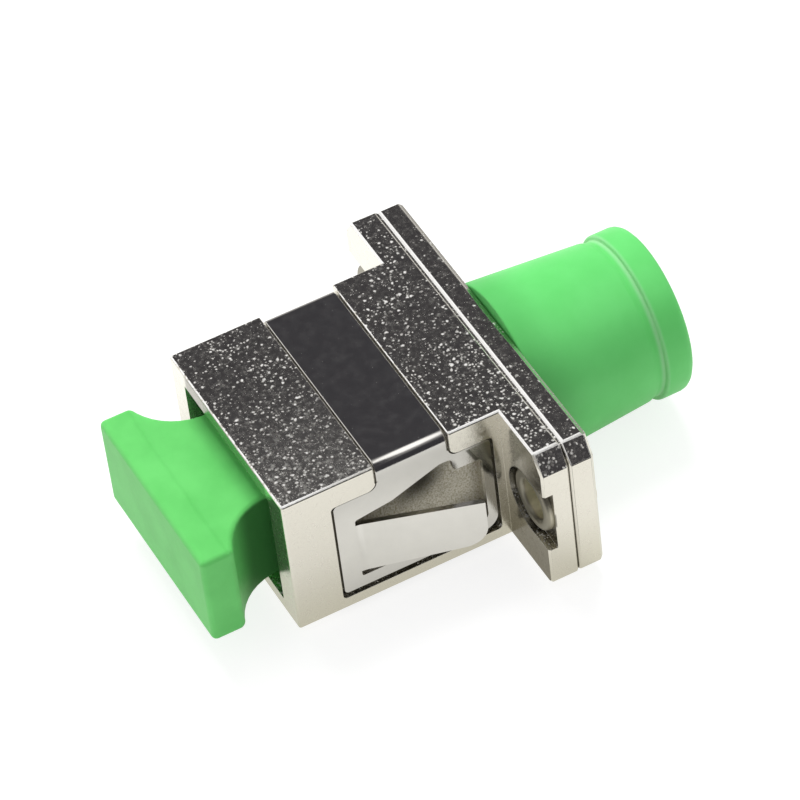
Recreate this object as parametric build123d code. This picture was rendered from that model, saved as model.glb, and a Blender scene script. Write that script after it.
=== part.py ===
from build123d import *
import math
import os

# Hybrid fibre adapter: a die-cast socket housing for a square push-pull plug on one side,
# a threaded round socket on the other, riveted flange to flange.
# Millimetres. The origin is on the optical axis in the flange's front face.
# +Y runs along the axis from the square socket's mouth to the threaded socket, +Z is up.

# Square socket housing
body_width = 13.1
body_height = 9.3
body_length = 12.7
cavity_width = 9.3
cavity_height = 7.5
mouth_flare = 0.25
mouth_flare_depth = 1.0
keyway_width = 4.3
keyway_depth = 0.5
edge_round = 0.15
touch = 0.01

# Flange, two plates face to face
flange_width = 22.0
front_plate = 1.65
rear_plate = 1.5
rear_step = -0.05
rear_edge_bevel = 0.2
plate_bevel = 0.12
corner_run = 0.8
corner_drop = 1.15
foot_round = 0.4
insert_seat_depth = 0.4

# Flange holes and the eyelets that join the plates
hole_margin = 2.0
screw_hole_radius = 1.15
eyelet_wall = 0.3
eyelet_fit = 0.05
head_radius = 1.8
head_thickness = 0.35
recess_radius = 2.0
recess_depth = 0.55
rolled_radius = 1.7
rolled_thickness = 0.3
crown_share = 0.6

# Spring clip, one bent sheet of steel
sheet = 0.3
clip_sink = 0.05
clip_play = 0.05
clip_bend = 0.7
strip_width = 4.2
strip_centre = -5.15
strip_gap = 0.08
panel_front_gap = 0.65
panel_length = 9.2
panel_top = 2.95
panel_bottom = -3.6
panel_side_gap = 0.15
panel_foot_gap = 0.3
neck_round = 0.5
panel_heel_round = 0.9
panel_toe_round = 0.25
tongue_top = 1.0
tongue_tip_top = 0.5
tongue_bottom = -2.5
tongue_root_margin = 1.1
tongue_length = 6.5
tongue_angle = 15.5
tongue_bend = 1.5
tongue_corner = 1.2
slot_gap = 0.35
bar_width = 0.55
window_peak_height = 2.7
window_peak_setback = 3.0
window_peak_width = 0.75
window_shoulder_height = 1.8
window_waist_height = 1.65
window_waist_setback = 5.9
window_round = 0.3
window_waist_round = 1.0
window_heel_round = 0.4
slot_end_round = 0.15
pocket_depth = 0.7
pocket_margin = 0.3
pocket_round = 0.5
pocket_overhang = 0.1

# Latch insert, moulded plastic
insert_fit = 0.05
insert_base = 1.8
spigot_radius = 2.6
holder_radius = 2.2
latch_arm = 0.7
latch_inset = 3.35
latch_height = 2.6
latch_reach = 7.0
latch_barb = 0.4
barb_length = 1.1
barb_nose_share = 0.65
barb_round = 0.12

# Split alignment sleeve
ferrule_radius = 1.25
sleeve_wall = 0.35
sleeve_length = 11.4
sleeve_centre = 0.8
sleeve_slit = 0.4
sleeve_play = 0.05
sleeve_end_play = 0.1
lip_thickness = 0.6
lip_overlap = 0.25

# Threaded socket
thread_radius = 4.0
barrel_length = 8.0
barrel_bore_radius = 3.0
relief_radius = 3.6
relief_length = 1.0
thread_chamfer = 0.4
key_slot_width = 2.1
key_slot_length = 4.0
socket_web = 1.05
holder_flange_radius = 3.6
holder_flange_thickness = 1.0

# Dust plug in the square socket
plug_width = 12.3
plug_height = 5.95
plug_drop = 0.27
plug_reach = 4.65
plug_plate = 1.9
plug_neck_width = 7.2
plug_scoop_radius = 3.4
plug_neck_depth = 3.7
plug_nose_depth = 9.3
plug_nose_wall = 0.5
plug_nose_fit = 0.1
plug_socket_extra = 0.6
plug_corner_round = 0.5
plug_edge_bevel = 0.2

# Dust cap on the threaded socket
cap_rim_radius = 5.2
cap_neck_radius = 4.65
cap_collar_radius = 4.8
cap_gap = 0.3
cap_length = 9.1
cap_fit = 0.05
cap_end_wall = 0.9
cap_end_round = 0.5
cap_end_flats = 3
cap_collar = 1.7
cap_groove_width = 0.55
cap_groove_depth = 0.12
cap_bevel = 0.15

# Places that follow from the sizes
half_width = body_width / 2
hole_pitch = flange_width - 2 * hole_margin
half_height = body_height / 2
mouth_y = -body_length
plate_joint_y = front_plate
rear_face_y = front_plate + rear_plate
clip_half_width = half_width - clip_sink
clip_top = half_height - clip_sink
recess_floor_x = clip_half_width - sheet - clip_play
panel_rear_y = -panel_front_gap
panel_mouth_y = panel_rear_y - panel_length
tongue_root_y = panel_mouth_y + tongue_root_margin
sleeve_radius = ferrule_radius + sleeve_wall
holder_bore_radius = sleeve_radius + sleeve_play
lip_bore_radius = sleeve_radius - lip_overlap
sleeve_mouth_y = sleeve_centre - sleeve_length / 2
sleeve_rear_y = sleeve_centre + sleeve_length / 2
barrel_end_y = rear_face_y + barrel_length


def block(x_from, x_to, y_from, y_to, z_from, z_to):
    """A box between two corners."""
    size = Box(x_to - x_from, y_to - y_from, z_to - z_from)
    centre = Pos((x_from + x_to) / 2, (y_from + y_to) / 2, (z_from + z_to) / 2)
    return centre * size


def rod(radius, y_from, y_to, x=0.0, z=0.0):
    """A cylinder along Y."""
    length = y_to - y_from
    return Pos(x, (y_from + y_to) / 2, z) * Rot(90, 0, 0) * Cylinder(radius, length)


def outline(corners):
    """A flat face from corners (a, b) or (a, b, rounding)."""
    face = make_face(Polyline(*[(c[0], c[1]) for c in corners], close=True))
    for corner in corners:
        if len(corner) == 3:
            vertex = face.vertices().sort_by_distance((corner[0], corner[1], 0))[0]
            face = fillet(vertex, corner[2])
    return face


def turned_corner(radius, y, rounding, flats):
    """Corners (radius, y) of a turned rounding made of a few flats, up to the end at y."""
    turns = [math.pi / 2 * step / flats for step in range(flats + 1)]
    return [(radius - rounding * (1 - math.cos(turn)), y - rounding * (1 - math.sin(turn)))
            for turn in turns]


def across(face, half_span):
    """Extrudes a face drawn as (y, z) to both sides along X."""
    return extrude(Plane.YZ * face, half_span, both=True)


def both_sides(shape):
    """The shape and its mirror image in the middle plane."""
    return [shape, mirror(shape, Plane.YZ)]


def edges_at(shape, y):
    """The edges that lie in one plane across the axis."""
    return [e for e in shape.edges() if abs(e.center().Y - y) < touch]


def flange_plate(y_from, y_to, half_z):
    """A flange plate with sloped top corners and slightly rounded lower ones."""
    half_x = flange_width / 2
    face = outline([
        (-half_x, -half_z, foot_round),
        (half_x, -half_z, foot_round),
        (half_x, half_z - corner_drop),
        (half_x - corner_run, half_z),
        (corner_run - half_x, half_z),
        (-half_x, half_z - corner_drop),
    ])
    return extrude(Plane.XZ.offset(-y_to) * face, y_to - y_from)


def eyelet_recess(x, y_from, y_to):
    """The round seat of an eyelet's head, open to the flange's end."""
    seat = rod(recess_radius, y_from, y_to, x)
    end_x = math.copysign(flange_width, x)
    way_out = block(min(x, end_x), max(x, end_x), y_from, y_to, -recess_radius, recess_radius)
    return seat + way_out


def eyelet_holes(plate, y_from, y_to):
    """Cuts the two holes that the eyelets pass through."""
    for x in (-hole_pitch / 2, hole_pitch / 2):
        plate -= rod(screw_hole_radius + eyelet_wall + eyelet_fit, y_from, y_to, x)
    return plate


def clip_plan(grow_side, grow_foot, grow_strip, heel_round):
    """The clip's silhouette as (y, z): a wide panel with a neck up to the top strip."""
    strip_from = strip_centre - strip_width / 2 - grow_strip
    strip_to = strip_centre + strip_width / 2 + grow_strip
    foot = panel_bottom - grow_foot
    top = panel_top + grow_strip
    above = body_height
    return outline([
        (panel_mouth_y - grow_side, foot, panel_toe_round),
        (panel_rear_y + grow_side, foot, heel_round),
        (panel_rear_y + grow_side, top, panel_toe_round),
        (strip_to, top, neck_round),
        (strip_to, above),
        (strip_from, above),
        (strip_from, top, neck_round),
        (panel_mouth_y - grow_side, top, panel_toe_round),
    ])


def clip_core(side_x, top_z, bend, y_from, y_to):
    """A block with rounded upper edges, which the clip's inside follows."""
    face = outline([
        (-side_x, -body_height),
        (side_x, -body_height),
        (side_x, top_z, bend),
        (-side_x, top_z, bend),
    ])
    return extrude(Plane.XZ.offset(-y_to) * face, y_to - y_from)


def window_corners():
    """The panel's window as (y, z) corners, with its sloped upper edge."""
    bar_y = panel_rear_y - bar_width
    foot = tongue_bottom - slot_gap
    peak_y = panel_rear_y - window_peak_setback
    return [
        (tongue_root_y, foot, slot_end_round),
        (bar_y, foot, window_heel_round),
        (bar_y, window_shoulder_height, window_round),
        (peak_y + window_peak_width, window_shoulder_height, window_round),
        (peak_y + window_peak_width, window_peak_height, window_round),
        (peak_y, window_peak_height, window_round),
        (panel_rear_y - window_waist_setback, window_waist_height, window_waist_round),
        (tongue_root_y, tongue_top + slot_gap, slot_end_round),
    ]


def tongue():
    """A tongue bent out of the panel, on the +X side, rooted at the mouth's end."""
    outer_x = clip_half_width
    turn = math.radians(tongue_angle)
    centre_x = outer_x + tongue_bend

    def at(radius, angle, along):
        x = centre_x - radius * math.cos(angle) + along * math.sin(angle)
        y = tongue_root_y + radius * math.sin(angle) + along * math.cos(angle)
        return (x, y)

    outer = [at(tongue_bend, 0, 0), at(tongue_bend, turn / 2, 0), at(tongue_bend, turn, 0)]
    inner_bend = tongue_bend + sheet
    inner = [at(inner_bend, 0, 0), at(inner_bend, turn / 2, 0), at(inner_bend, turn, 0)]
    tip_outer = at(tongue_bend, turn, tongue_length)
    tip_inner = at(inner_bend, turn, tongue_length)
    start_y = tongue_root_y - sheet
    start_outer = (outer_x, start_y)
    start_inner = (outer_x - sheet, start_y)
    edge = [
        Line(start_outer, outer[0]),
        ThreePointArc(*outer),
        Line(outer[2], tip_outer),
        Line(tip_outer, tip_inner),
        Line(tip_inner, inner[2]),
        ThreePointArc(inner[2], inner[1], inner[0]),
        Line(inner[0], start_inner),
        Line(start_inner, start_outer),
    ]
    face = make_face(edge)
    blade = extrude(Plane.XY.offset(tongue_bottom) * face, tongue_top - tongue_bottom)
    tip_y = tip_outer[1]
    plan = outline([
        (start_y, tongue_bottom),
        (tip_y, tongue_bottom, tongue_corner),
        (tip_y, tongue_tip_top),
        (start_y, tongue_top),
    ])
    return blade & across(plan, flange_width)


def spring_clip():
    """The U-shaped spring clip with its windows and lanced tongues."""
    shell = clip_core(clip_half_width, clip_top, clip_bend, panel_mouth_y, panel_rear_y)
    shell -= clip_core(clip_half_width - sheet, clip_top - sheet, clip_bend - sheet,
                       panel_mouth_y, panel_rear_y)
    clip = shell & across(clip_plan(0, 0, 0, panel_heel_round), body_width)
    clip -= across(outline(window_corners()), body_width)
    for blade in both_sides(tongue()):
        clip += blade
    return clip


def clip_recess():
    """What the clip's seat takes out of the housing: groove, side recesses and pockets."""
    seat_plan = clip_plan(panel_side_gap, panel_foot_gap, strip_gap, panel_toe_round)
    seat = across(seat_plan, body_width)
    core = clip_core(recess_floor_x, clip_top - sheet - clip_play,
                     clip_bend - sheet - clip_play, mouth_y, 0)
    seat -= core
    floor_x = recess_floor_x - pocket_depth
    pocket_foot = tongue_bottom - slot_gap - pocket_overhang
    pocket_top = window_peak_height + pocket_overhang
    pocket_end = panel_rear_y - bar_width + pocket_overhang
    pocket_face = outline([
        (tongue_root_y - pocket_margin, pocket_foot, pocket_round),
        (pocket_end, pocket_foot, pocket_round),
        (pocket_end, pocket_top, pocket_round),
        (tongue_root_y - pocket_margin, pocket_top, pocket_round),
    ])
    pocket = extrude(Plane.YZ.offset(floor_x) * pocket_face, body_width)
    for side in both_sides(pocket):
        seat += side
    return seat


def cavity():
    """The square socket's hollow with its flared mouth and the keyway below."""
    half_w = cavity_width / 2
    half_h = cavity_height / 2
    room = block(-half_w, half_w, mouth_y, insert_seat_depth, -half_h, half_h)
    flare = outline([
        (half_w, mouth_y + mouth_flare_depth),
        (half_w + mouth_flare, mouth_y),
        (-half_w - mouth_flare, mouth_y),
        (-half_w, mouth_y + mouth_flare_depth),
    ])
    room += extrude(Plane.XY * flare, half_h, both=True)
    keyway_end = -insert_base
    room += block(-keyway_width / 2, keyway_width / 2, mouth_y, keyway_end,
                  -half_h - keyway_depth, -half_h + edge_round)
    return room


def sc_housing():
    """The die-cast square socket with the flange's front plate."""
    body = block(-half_width, half_width, mouth_y, front_plate, -half_height, half_height)
    shell = body + flange_plate(0, front_plate, half_height)
    long_edges = [e for e in shell.edges().filter_by(Axis.Y)
                  if abs(abs(e.center().X) - half_width) < touch
                  and abs(e.center().Z) > half_height - touch]
    mouth_edges = edges_at(shell, mouth_y)
    shell = fillet(long_edges + mouth_edges, edge_round)
    face_edges = [e for e in edges_at(shell, 0) if abs(e.center().X) > half_width + edge_round * 2]
    shell = chamfer(face_edges + edges_at(shell, front_plate), plate_bevel)
    shell -= cavity()
    shell -= clip_recess()
    shell -= rod(spigot_radius + insert_fit, 0, front_plate)
    for x in (-hole_pitch / 2, hole_pitch / 2):
        shell -= eyelet_recess(x, 0, recess_depth)
    return eyelet_holes(shell, 0, front_plate)


def barrel_profile():
    """Half section of the threaded barrel, without its bore, as (radius, y)."""
    relief_end = rear_face_y + relief_length
    return outline([
        (0, front_plate + rear_plate / 2),
        (relief_radius, front_plate + rear_plate / 2),
        (relief_radius, relief_end),
        (thread_radius, relief_end + thread_radius - relief_radius),
        (thread_radius, barrel_end_y - thread_chamfer),
        (thread_radius - thread_chamfer, barrel_end_y),
        (0, barrel_end_y),
    ])


def fc_housing():
    """The die-cast rear plate with the threaded barrel of the round socket."""
    plate = flange_plate(plate_joint_y, rear_face_y, half_height + rear_step)
    plate = chamfer(edges_at(plate, rear_face_y), rear_edge_bevel)
    plate = chamfer(edges_at(plate, plate_joint_y), plate_bevel)
    shell = plate + revolve(Plane.XY * barrel_profile(), Axis.Y)
    web_end = plate_joint_y + holder_flange_thickness + socket_web
    shell -= rod(holder_flange_radius + insert_fit, plate_joint_y,
                 plate_joint_y + holder_flange_thickness)
    shell -= rod(holder_radius + insert_fit, plate_joint_y, barrel_end_y)
    shell -= rod(barrel_bore_radius, web_end, barrel_end_y)
    shell -= block(-key_slot_width / 2, key_slot_width / 2,
                   barrel_end_y - key_slot_length, barrel_end_y, -holder_flange_radius * 2, 0)
    return eyelet_holes(shell, plate_joint_y, rear_face_y)


def eyelet(x):
    """A tubular eyelet through both plates, headed at the front and rolled at the back."""
    bore = screw_hole_radius
    tube = bore + eyelet_wall
    front = recess_depth - head_thickness
    front_seat = recess_depth
    rear_seat = rear_face_y
    rear = rear_seat + rolled_thickness
    crown = head_thickness * crown_share
    rolled_crown = rolled_thickness * crown_share
    face = outline([
        (bore, front),
        (head_radius - crown, front),
        (head_radius, front + crown),
        (head_radius, front_seat),
        (tube, front_seat),
        (tube, rear_seat),
        (rolled_radius, rear_seat),
        (rolled_radius, rear - rolled_crown),
        (rolled_radius - rolled_crown, rear),
        (bore, rear),
    ])
    return Pos(x, 0, 0) * revolve(Plane.XY * face, Axis.Y)


def latch_arm_solid():
    """One latch arm on the +X side with its hooked end towards the mouth."""
    inner = latch_inset
    outer = latch_inset + latch_arm
    root_y = insert_seat_depth - insert_base
    tip_y = root_y - latch_reach
    hook = outline([
        (inner, root_y + insert_fit),
        (outer, root_y + insert_fit),
        (outer, tip_y),
        (inner, tip_y, barb_round),
        (inner - latch_barb, tip_y + barb_length * barb_nose_share, barb_round),
        (inner - latch_barb, tip_y + barb_length),
        (inner, tip_y + barb_length),
    ])
    return extrude(Plane.XY * hook, latch_height / 2, both=True)


def sc_latch_insert():
    """The moulded insert: base, sleeve tube, spigot and two latch arms."""
    half_w = cavity_width / 2 - insert_fit
    half_h = cavity_height / 2 - insert_fit
    base_y = insert_seat_depth - insert_base
    insert = block(-half_w, half_w, base_y, insert_seat_depth, -half_h, half_h)
    lip_y = sleeve_mouth_y - sleeve_end_play
    insert += rod(holder_radius, lip_y - lip_thickness, base_y)
    insert += rod(spigot_radius, insert_seat_depth, front_plate)
    for arm in both_sides(latch_arm_solid()):
        insert += arm
    insert -= rod(holder_bore_radius, lip_y, front_plate)
    insert -= rod(lip_bore_radius, lip_y - lip_thickness, lip_y)
    return insert


def fc_sleeve_holder():
    """The turned holder of the threaded side: a tube with a flange clamped in the joint."""
    lip_y = sleeve_rear_y + sleeve_end_play
    holder = rod(holder_radius, plate_joint_y, lip_y + lip_thickness)
    holder += rod(holder_flange_radius, plate_joint_y, plate_joint_y + holder_flange_thickness)
    mouth_edge = holder.edges().filter_by(GeomType.CIRCLE).sort_by(Axis.Y)[-1]
    holder = chamfer(mouth_edge, lip_overlap)
    holder -= rod(holder_bore_radius, plate_joint_y, lip_y)
    holder -= rod(lip_bore_radius, lip_y, lip_y + lip_thickness)
    return holder


def alignment_sleeve():
    """The split ceramic sleeve that lines up two ferrules."""
    sleeve = rod(sleeve_radius, sleeve_mouth_y, sleeve_rear_y)
    sleeve -= rod(ferrule_radius, sleeve_mouth_y, sleeve_rear_y)
    slit = block(-sleeve_slit / 2, sleeve_slit / 2,
                 sleeve_mouth_y, sleeve_rear_y, 0, sleeve_radius * 2)
    return sleeve - slit


def sc_dust_plug():
    """The soft plug: a grip plate, scooped sides and a hollow nose over the sleeve tube."""
    face_y = mouth_y - plug_reach
    plate_rear_y = face_y + plug_plate
    neck_end_y = mouth_y + plug_neck_depth
    half_w = plug_width / 2
    half_neck = plug_neck_width / 2
    top = plug_height / 2 - plug_drop
    grip = block(-half_w, half_w, face_y, neck_end_y, top - plug_height, top)
    scoop_x = half_neck + plug_scoop_radius
    drop = scoop_x - half_w
    scoop_y = plate_rear_y + math.sqrt(plug_scoop_radius ** 2 - drop ** 2)
    scoop = Pos(scoop_x, scoop_y, 0) * Cylinder(plug_scoop_radius, body_height)
    side_cut = block(half_neck, flange_width, scoop_y, neck_end_y, -body_height, body_height)
    for cut in both_sides(scoop + side_cut):
        grip -= cut
    corners = [e for e in grip.edges().filter_by(Axis.Y) if abs(e.center().X) > half_w - touch]
    grip = fillet(corners, plug_corner_round)
    grip = chamfer(edges_at(grip, face_y), plug_edge_bevel)
    nose_radius = holder_radius + plug_nose_fit + plug_nose_wall
    nose_end_y = mouth_y + plug_nose_depth
    plug = grip + rod(nose_radius, neck_end_y, nose_end_y)
    plug -= rod(holder_radius + plug_nose_fit, neck_end_y - plug_socket_extra, nose_end_y)
    return plug


def fc_dust_cap():
    """The soft cap over the thread: a tapered body, a grip groove and an end collar."""
    rim_y = rear_face_y + cap_gap
    end_y = rim_y + cap_length
    bore = thread_radius + cap_fit
    collar_y = end_y - cap_collar
    groove_y = collar_y - cap_groove_width
    bed_radius = cap_neck_radius - cap_groove_depth
    face = outline([
        (bore, rim_y),
        (cap_rim_radius - cap_bevel, rim_y),
        (cap_rim_radius, rim_y + cap_bevel),
        (cap_neck_radius, groove_y - cap_bevel),
        (bed_radius, groove_y + cap_bevel),
        (bed_radius, collar_y - cap_bevel),
        (cap_collar_radius - cap_bevel, collar_y),
        (cap_collar_radius, collar_y + cap_bevel),
        *turned_corner(cap_collar_radius, end_y, cap_end_round, cap_end_flats),
        (0, end_y),
        (0, end_y - cap_end_wall),
        (bore, end_y - cap_end_wall),
    ])
    return revolve(Plane.XY * face, Axis.Y)


def nodes():
    """Every piece of the adapter under its node name."""
    half_pitch = hole_pitch / 2
    return {
        "sc_housing": sc_housing(),
        "fc_housing": fc_housing(),
        "spring_clip": spring_clip(),
        "eyelet_left": eyelet(-half_pitch),
        "eyelet_right": eyelet(half_pitch),
        "sc_latch_insert": sc_latch_insert(),
        "fc_sleeve_holder": fc_sleeve_holder(),
        "alignment_sleeve": alignment_sleeve(),
        "sc_dust_plug": sc_dust_plug(),
        "fc_dust_cap": fc_dust_cap(),
    }


os.makedirs("parts", exist_ok=True)
for name, shape in nodes().items():
    export_step(shape, f"parts/{name}.step")
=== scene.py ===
"""Looks of a hybrid fibre adapter: a die-cast square socket riveted to a threaded round one."""

import logging
import math
from collections.abc import Callable, Sequence
from dataclasses import dataclass, field
from enum import Enum
from typing import Any

import bmesh
import bpy
from mathutils import Matrix, Vector


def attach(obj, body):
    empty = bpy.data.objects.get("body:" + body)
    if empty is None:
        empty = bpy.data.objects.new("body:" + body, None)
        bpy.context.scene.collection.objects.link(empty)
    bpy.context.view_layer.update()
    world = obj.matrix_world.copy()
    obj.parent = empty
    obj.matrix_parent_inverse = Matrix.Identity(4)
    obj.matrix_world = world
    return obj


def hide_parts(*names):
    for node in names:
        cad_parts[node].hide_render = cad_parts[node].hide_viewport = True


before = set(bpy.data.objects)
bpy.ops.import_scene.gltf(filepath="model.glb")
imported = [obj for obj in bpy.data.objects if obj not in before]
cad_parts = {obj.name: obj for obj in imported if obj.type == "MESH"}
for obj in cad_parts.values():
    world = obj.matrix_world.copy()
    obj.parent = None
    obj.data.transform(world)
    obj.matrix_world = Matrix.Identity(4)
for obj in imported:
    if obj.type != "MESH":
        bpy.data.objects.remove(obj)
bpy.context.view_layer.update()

MM = 0.001
WELD = 0.002 * MM
FINE_WELD = 0.001 * MM
PLAN_WELD = 0.01 * MM
NEAR_MM = 0.01
FLAT_DEGREES = 0.6
TURNED_DEGREES = 32.0
EDGE_FLATS = 3
RING_FLATS = 4
log = logging.getLogger("adapter")

Piece = bpy.types.Object
Paint = bpy.types.Material
Edge = bmesh.types.BMEdge
Key = int | str
Colour = tuple[float, float, float]
Place = tuple[float, float, float]
Span = tuple[float, float]


class Body(Enum):
    """The moving groups of the adapter."""

    ADAPTER = "adapter"
    PLUG = "plug"
    CAP = "cap"


class Slot(Enum):
    """The finishes named in the part's record."""

    CAST = "cast_nickel"
    SPRING = "spring_steel"
    EYELET = "eyelet_metal"
    GREEN = "green_plastic"


class Axis(Enum):
    """The adapter's axes."""

    X = (1.0, 0.0, 0.0)
    Y = (0.0, 1.0, 0.0)
    Z = (0.0, 0.0, 1.0)


# Shader maths


def math_node(operation: str, turned: bool = False) -> Callable[["Wire", Any], "Wire"]:
    """Makes an operator of Wire that adds a Math node.

    Args:
        operation: Name of the Math operation.
        turned: Whether the wire is the second number.

    Returns:
        The operator, which takes the other number or socket.
    """
    def operator(wire: "Wire", other: Any) -> "Wire":
        """The result's socket."""
        pair = (other, wire) if turned else (wire, other)
        return wire.tree.node("Math", {"operation": operation}, {0: pair[0], 1: pair[1]})

    return operator


@dataclass
class Wire:
    """An output socket that takes part in Python sums."""

    tree: "Shader"
    socket: bpy.types.NodeSocket | None

    __add__, __radd__ = math_node("ADD"), math_node("ADD", True)
    __sub__, __rsub__ = math_node("SUBTRACT"), math_node("SUBTRACT", True)
    __mul__, __rmul__ = math_node("MULTIPLY"), math_node("MULTIPLY", True)
    highest = math_node("MAXIMUM")

    def ramp(self, start: float, end: float, low: float = 0.0, high: float = 1.0) -> "Wire":
        """A smooth step between two values.

        Args:
            start: Value at which the result is low.
            end: Value at which the result is high.
            low: Result at the start.
            high: Result at the end.

        Returns:
            The stepped value's socket.
        """
        return self.tree.node(
            "MapRange",
            {"interpolation_type": "SMOOTHSTEP"},
            {0: self, 1: start, 2: end, 3: low, 4: high},
        )


def scaled(colour: Colour, share: float, extra: float = 0.0) -> Colour:
    """A colour with each number multiplied, and a little added."""
    return tuple(value * share + extra for value in colour)


class Shader:
    """A material or world whose nodes are added by one method."""

    def __init__(self, owner: Paint | bpy.types.World) -> None:
        """Empties the owner's node tree.

        Args:
            owner: The material or world.
        """
        owner.use_nodes = True
        self.nodes = owner.node_tree.nodes
        self.links = owner.node_tree.links
        self.nodes.clear()

    def node(
        self,
        kind: str,
        settings: dict[str, Any] | None = None,
        inputs: dict[Key, Any] | None = None,
        output: Key = 0,
    ) -> Wire:
        """Adds a node.

        Args:
            kind: The node's type, without its ShaderNode in front.
            settings: Attributes that are set before the sockets.
            inputs: Values or links by socket name or number.
            output: Name or number of the output that is handed back.

        Returns:
            The chosen output.
        """
        made = self.nodes.new("ShaderNode" + kind)
        for name, value in (settings or {}).items():
            setattr(made, name, value)
        for key, value in (inputs or {}).items():
            if isinstance(value, Wire):
                self.links.new(value.socket, made.inputs[key])
            else:
                made.inputs[key].default_value = value
        return Wire(self, made.outputs[output] if made.outputs else None)

    def vector(self, operation: str, first: Any, second: Any, output: str = "Vector") -> Wire:
        """Adds a Vector Math node with two inputs."""
        return self.node("VectorMath", {"operation": operation}, {0: first, 1: second}, output)

    def times(self, vector: Wire, factor: float) -> Wire:
        """A vector multiplied by a number."""
        return self.node("VectorMath", {"operation": "SCALE"}, {0: vector, "Scale": factor})

    def reach(self, across: Wire, up: Wire) -> Wire:
        """The distance that two sides of a right angle span."""
        sides = self.node("CombineXYZ", None, {0: across, 1: up})
        return self.node("VectorMath", {"operation": "LENGTH"}, {0: sides}, "Value")

    def part(self, place: Wire, number: int) -> Wire:
        """One of a place's three numbers."""
        return self.node("SeparateXYZ", None, {0: place}, number)

    def size(self, value: Any) -> Wire:
        """A number without its sign."""
        return self.node("Math", {"operation": "ABSOLUTE"}, {0: value})

    def towards(self, way: Wire, direction: Place) -> Wire:
        """How far a direction points along another, from -1 to 1."""
        return self.vector("DOT_PRODUCT", way, direction, "Value")

    def noise(
        self,
        place: Wire,
        per_mm: float,
        detail: float = 3.0,
        rough: float = 0.5,
        output: Key = 0,
    ) -> Wire:
        """Soft random clouds.

        Args:
            place: Coordinates in millimetres.
            per_mm: How many clouds to the millimetre.
            detail: Levels of finer clouds.
            rough: Share of the finer clouds.
            output: The output that is wanted.

        Returns:
            Values about a half, or three of them as a colour.
        """
        return self.node(
            "TexNoise",
            {"noise_dimensions": "3D"},
            {"Vector": place, "Scale": per_mm, "Detail": detail, "Roughness": rough},
            output,
        )

    def cells(self, place: Wire, per_mm: float, output: str = "Distance") -> Wire:
        """Random cells.

        Args:
            place: Coordinates in millimetres.
            per_mm: How many cells to the millimetre.
            output: The output that is wanted.

        Returns:
            The distance to the cell's centre, or its random colour.
        """
        return self.node(
            "TexVoronoi",
            {"voronoi_dimensions": "3D"},
            {"Vector": place, "Scale": per_mm, "Randomness": 1.0},
            output,
        )

    def mix(self, share: Any, first: Any, second: Any) -> Wire:
        """A colour between two.

        Args:
            share: 0 for the first colour, 1 for the second.
            first: Colour or socket.
            second: Colour or socket.

        Returns:
            The mixed colour.
        """
        pair = [end if isinstance(end, Wire) else (*end, 1.0) for end in (first, second)]
        return self.node("Mix", {"data_type": "RGBA"}, {0: share, 6: pair[0], 7: pair[1]}, 2)

    def bump(self, height: Wire, depth_mm: float) -> Wire:
        """A normal from a height in units of depth_mm."""
        return self.node("Bump", None, {"Height": height, "Distance": depth_mm * MM})


class Coat(Shader):
    """A material's shader, which knows the place on the piece in millimetres."""

    def __init__(self, material: Paint) -> None:
        """Adds the place and its three numbers.

        Args:
            material: The material, which is emptied.
        """
        super().__init__(material)
        self.place = self.times(self.node("TexCoord", output="Object"), 1.0 / MM)
        self.x, self.y, self.z = (self.part(self.place, number) for number in range(3))

    def facing(self, axis: Axis) -> Wire:
        """How far the surface faces along an axis, from -1 to 1."""
        return self.towards(self.node("TexCoord", output="Normal"), axis.value)

    def clouds(self, per_mm: float, detail: float = 3.0, rough: float = 0.5) -> Wire:
        """Noise all over the piece."""
        return self.noise(self.place, per_mm, detail, rough)

    def surface(self, **sockets: Any) -> None:
        """Ends the tree in a Principled surface.

        Args:
            **sockets: Values or links by socket name, with underscores for spaces.
        """
        inputs = {name.replace("_", " "): value for name, value in sockets.items()}
        shader = self.node("BsdfPrincipled", None, inputs)
        self.node("OutputMaterial", None, {"Surface": shader})


# Finishes


class Finish:
    """A finish that paints a new material of its own."""

    name: str

    def paint(self, tree: Coat) -> None:
        """Adds the finish's nodes."""
        raise NotImplementedError

    def make(self) -> Paint:
        """Builds the material.

        Returns:
            The painted material.
        """
        material = bpy.data.materials.new(self.name)
        self.paint(Coat(material))
        return material


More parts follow.
